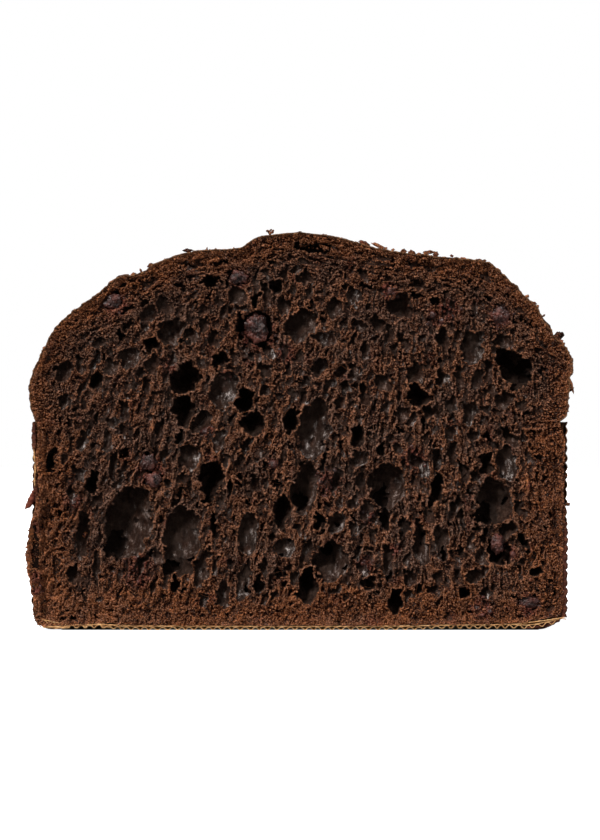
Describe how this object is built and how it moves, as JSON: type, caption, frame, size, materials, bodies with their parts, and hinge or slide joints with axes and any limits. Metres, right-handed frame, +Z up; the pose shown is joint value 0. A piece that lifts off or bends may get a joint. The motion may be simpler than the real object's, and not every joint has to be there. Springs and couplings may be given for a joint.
{
  "type": "half chocolate panettone in its paper case",
  "caption": "Tall domed half loaf of dark sweet bread, cut down its middle to show an open crumb with chocolate pieces, in a low corrugated paper case.",
  "frame": {"origin": "middle of the footprint, on the surface that the paper case stands on", "axes": "+Z up; +X along the cut face to the right as seen from the front; the cut face looks along -Y"},
  "size_m": [0.1914, 0.0952, 0.1394],
  "materials": {
    "crumb": "matt torn crumb with glossy cell walls and a browned matt crust",
    "chocolate": "soft satin chocolate",
    "case_wall": "matt dark brown fluted paper",
    "case_base": "matt tan fluted paper"
  },
  "bodies": {
    "root": {"crumb": "crumb", "chocolate_1": "chocolate", "chocolate_2": "chocolate", "chocolate_3": "chocolate", "chocolate_4": "chocolate", "chocolate_5": "chocolate", "chocolate_6": "chocolate", "chocolate_7": "chocolate", "chocolate_8": "chocolate", "case_wall": "case_wall", "case_base": "case_base"}
  },
  "joints": []
}
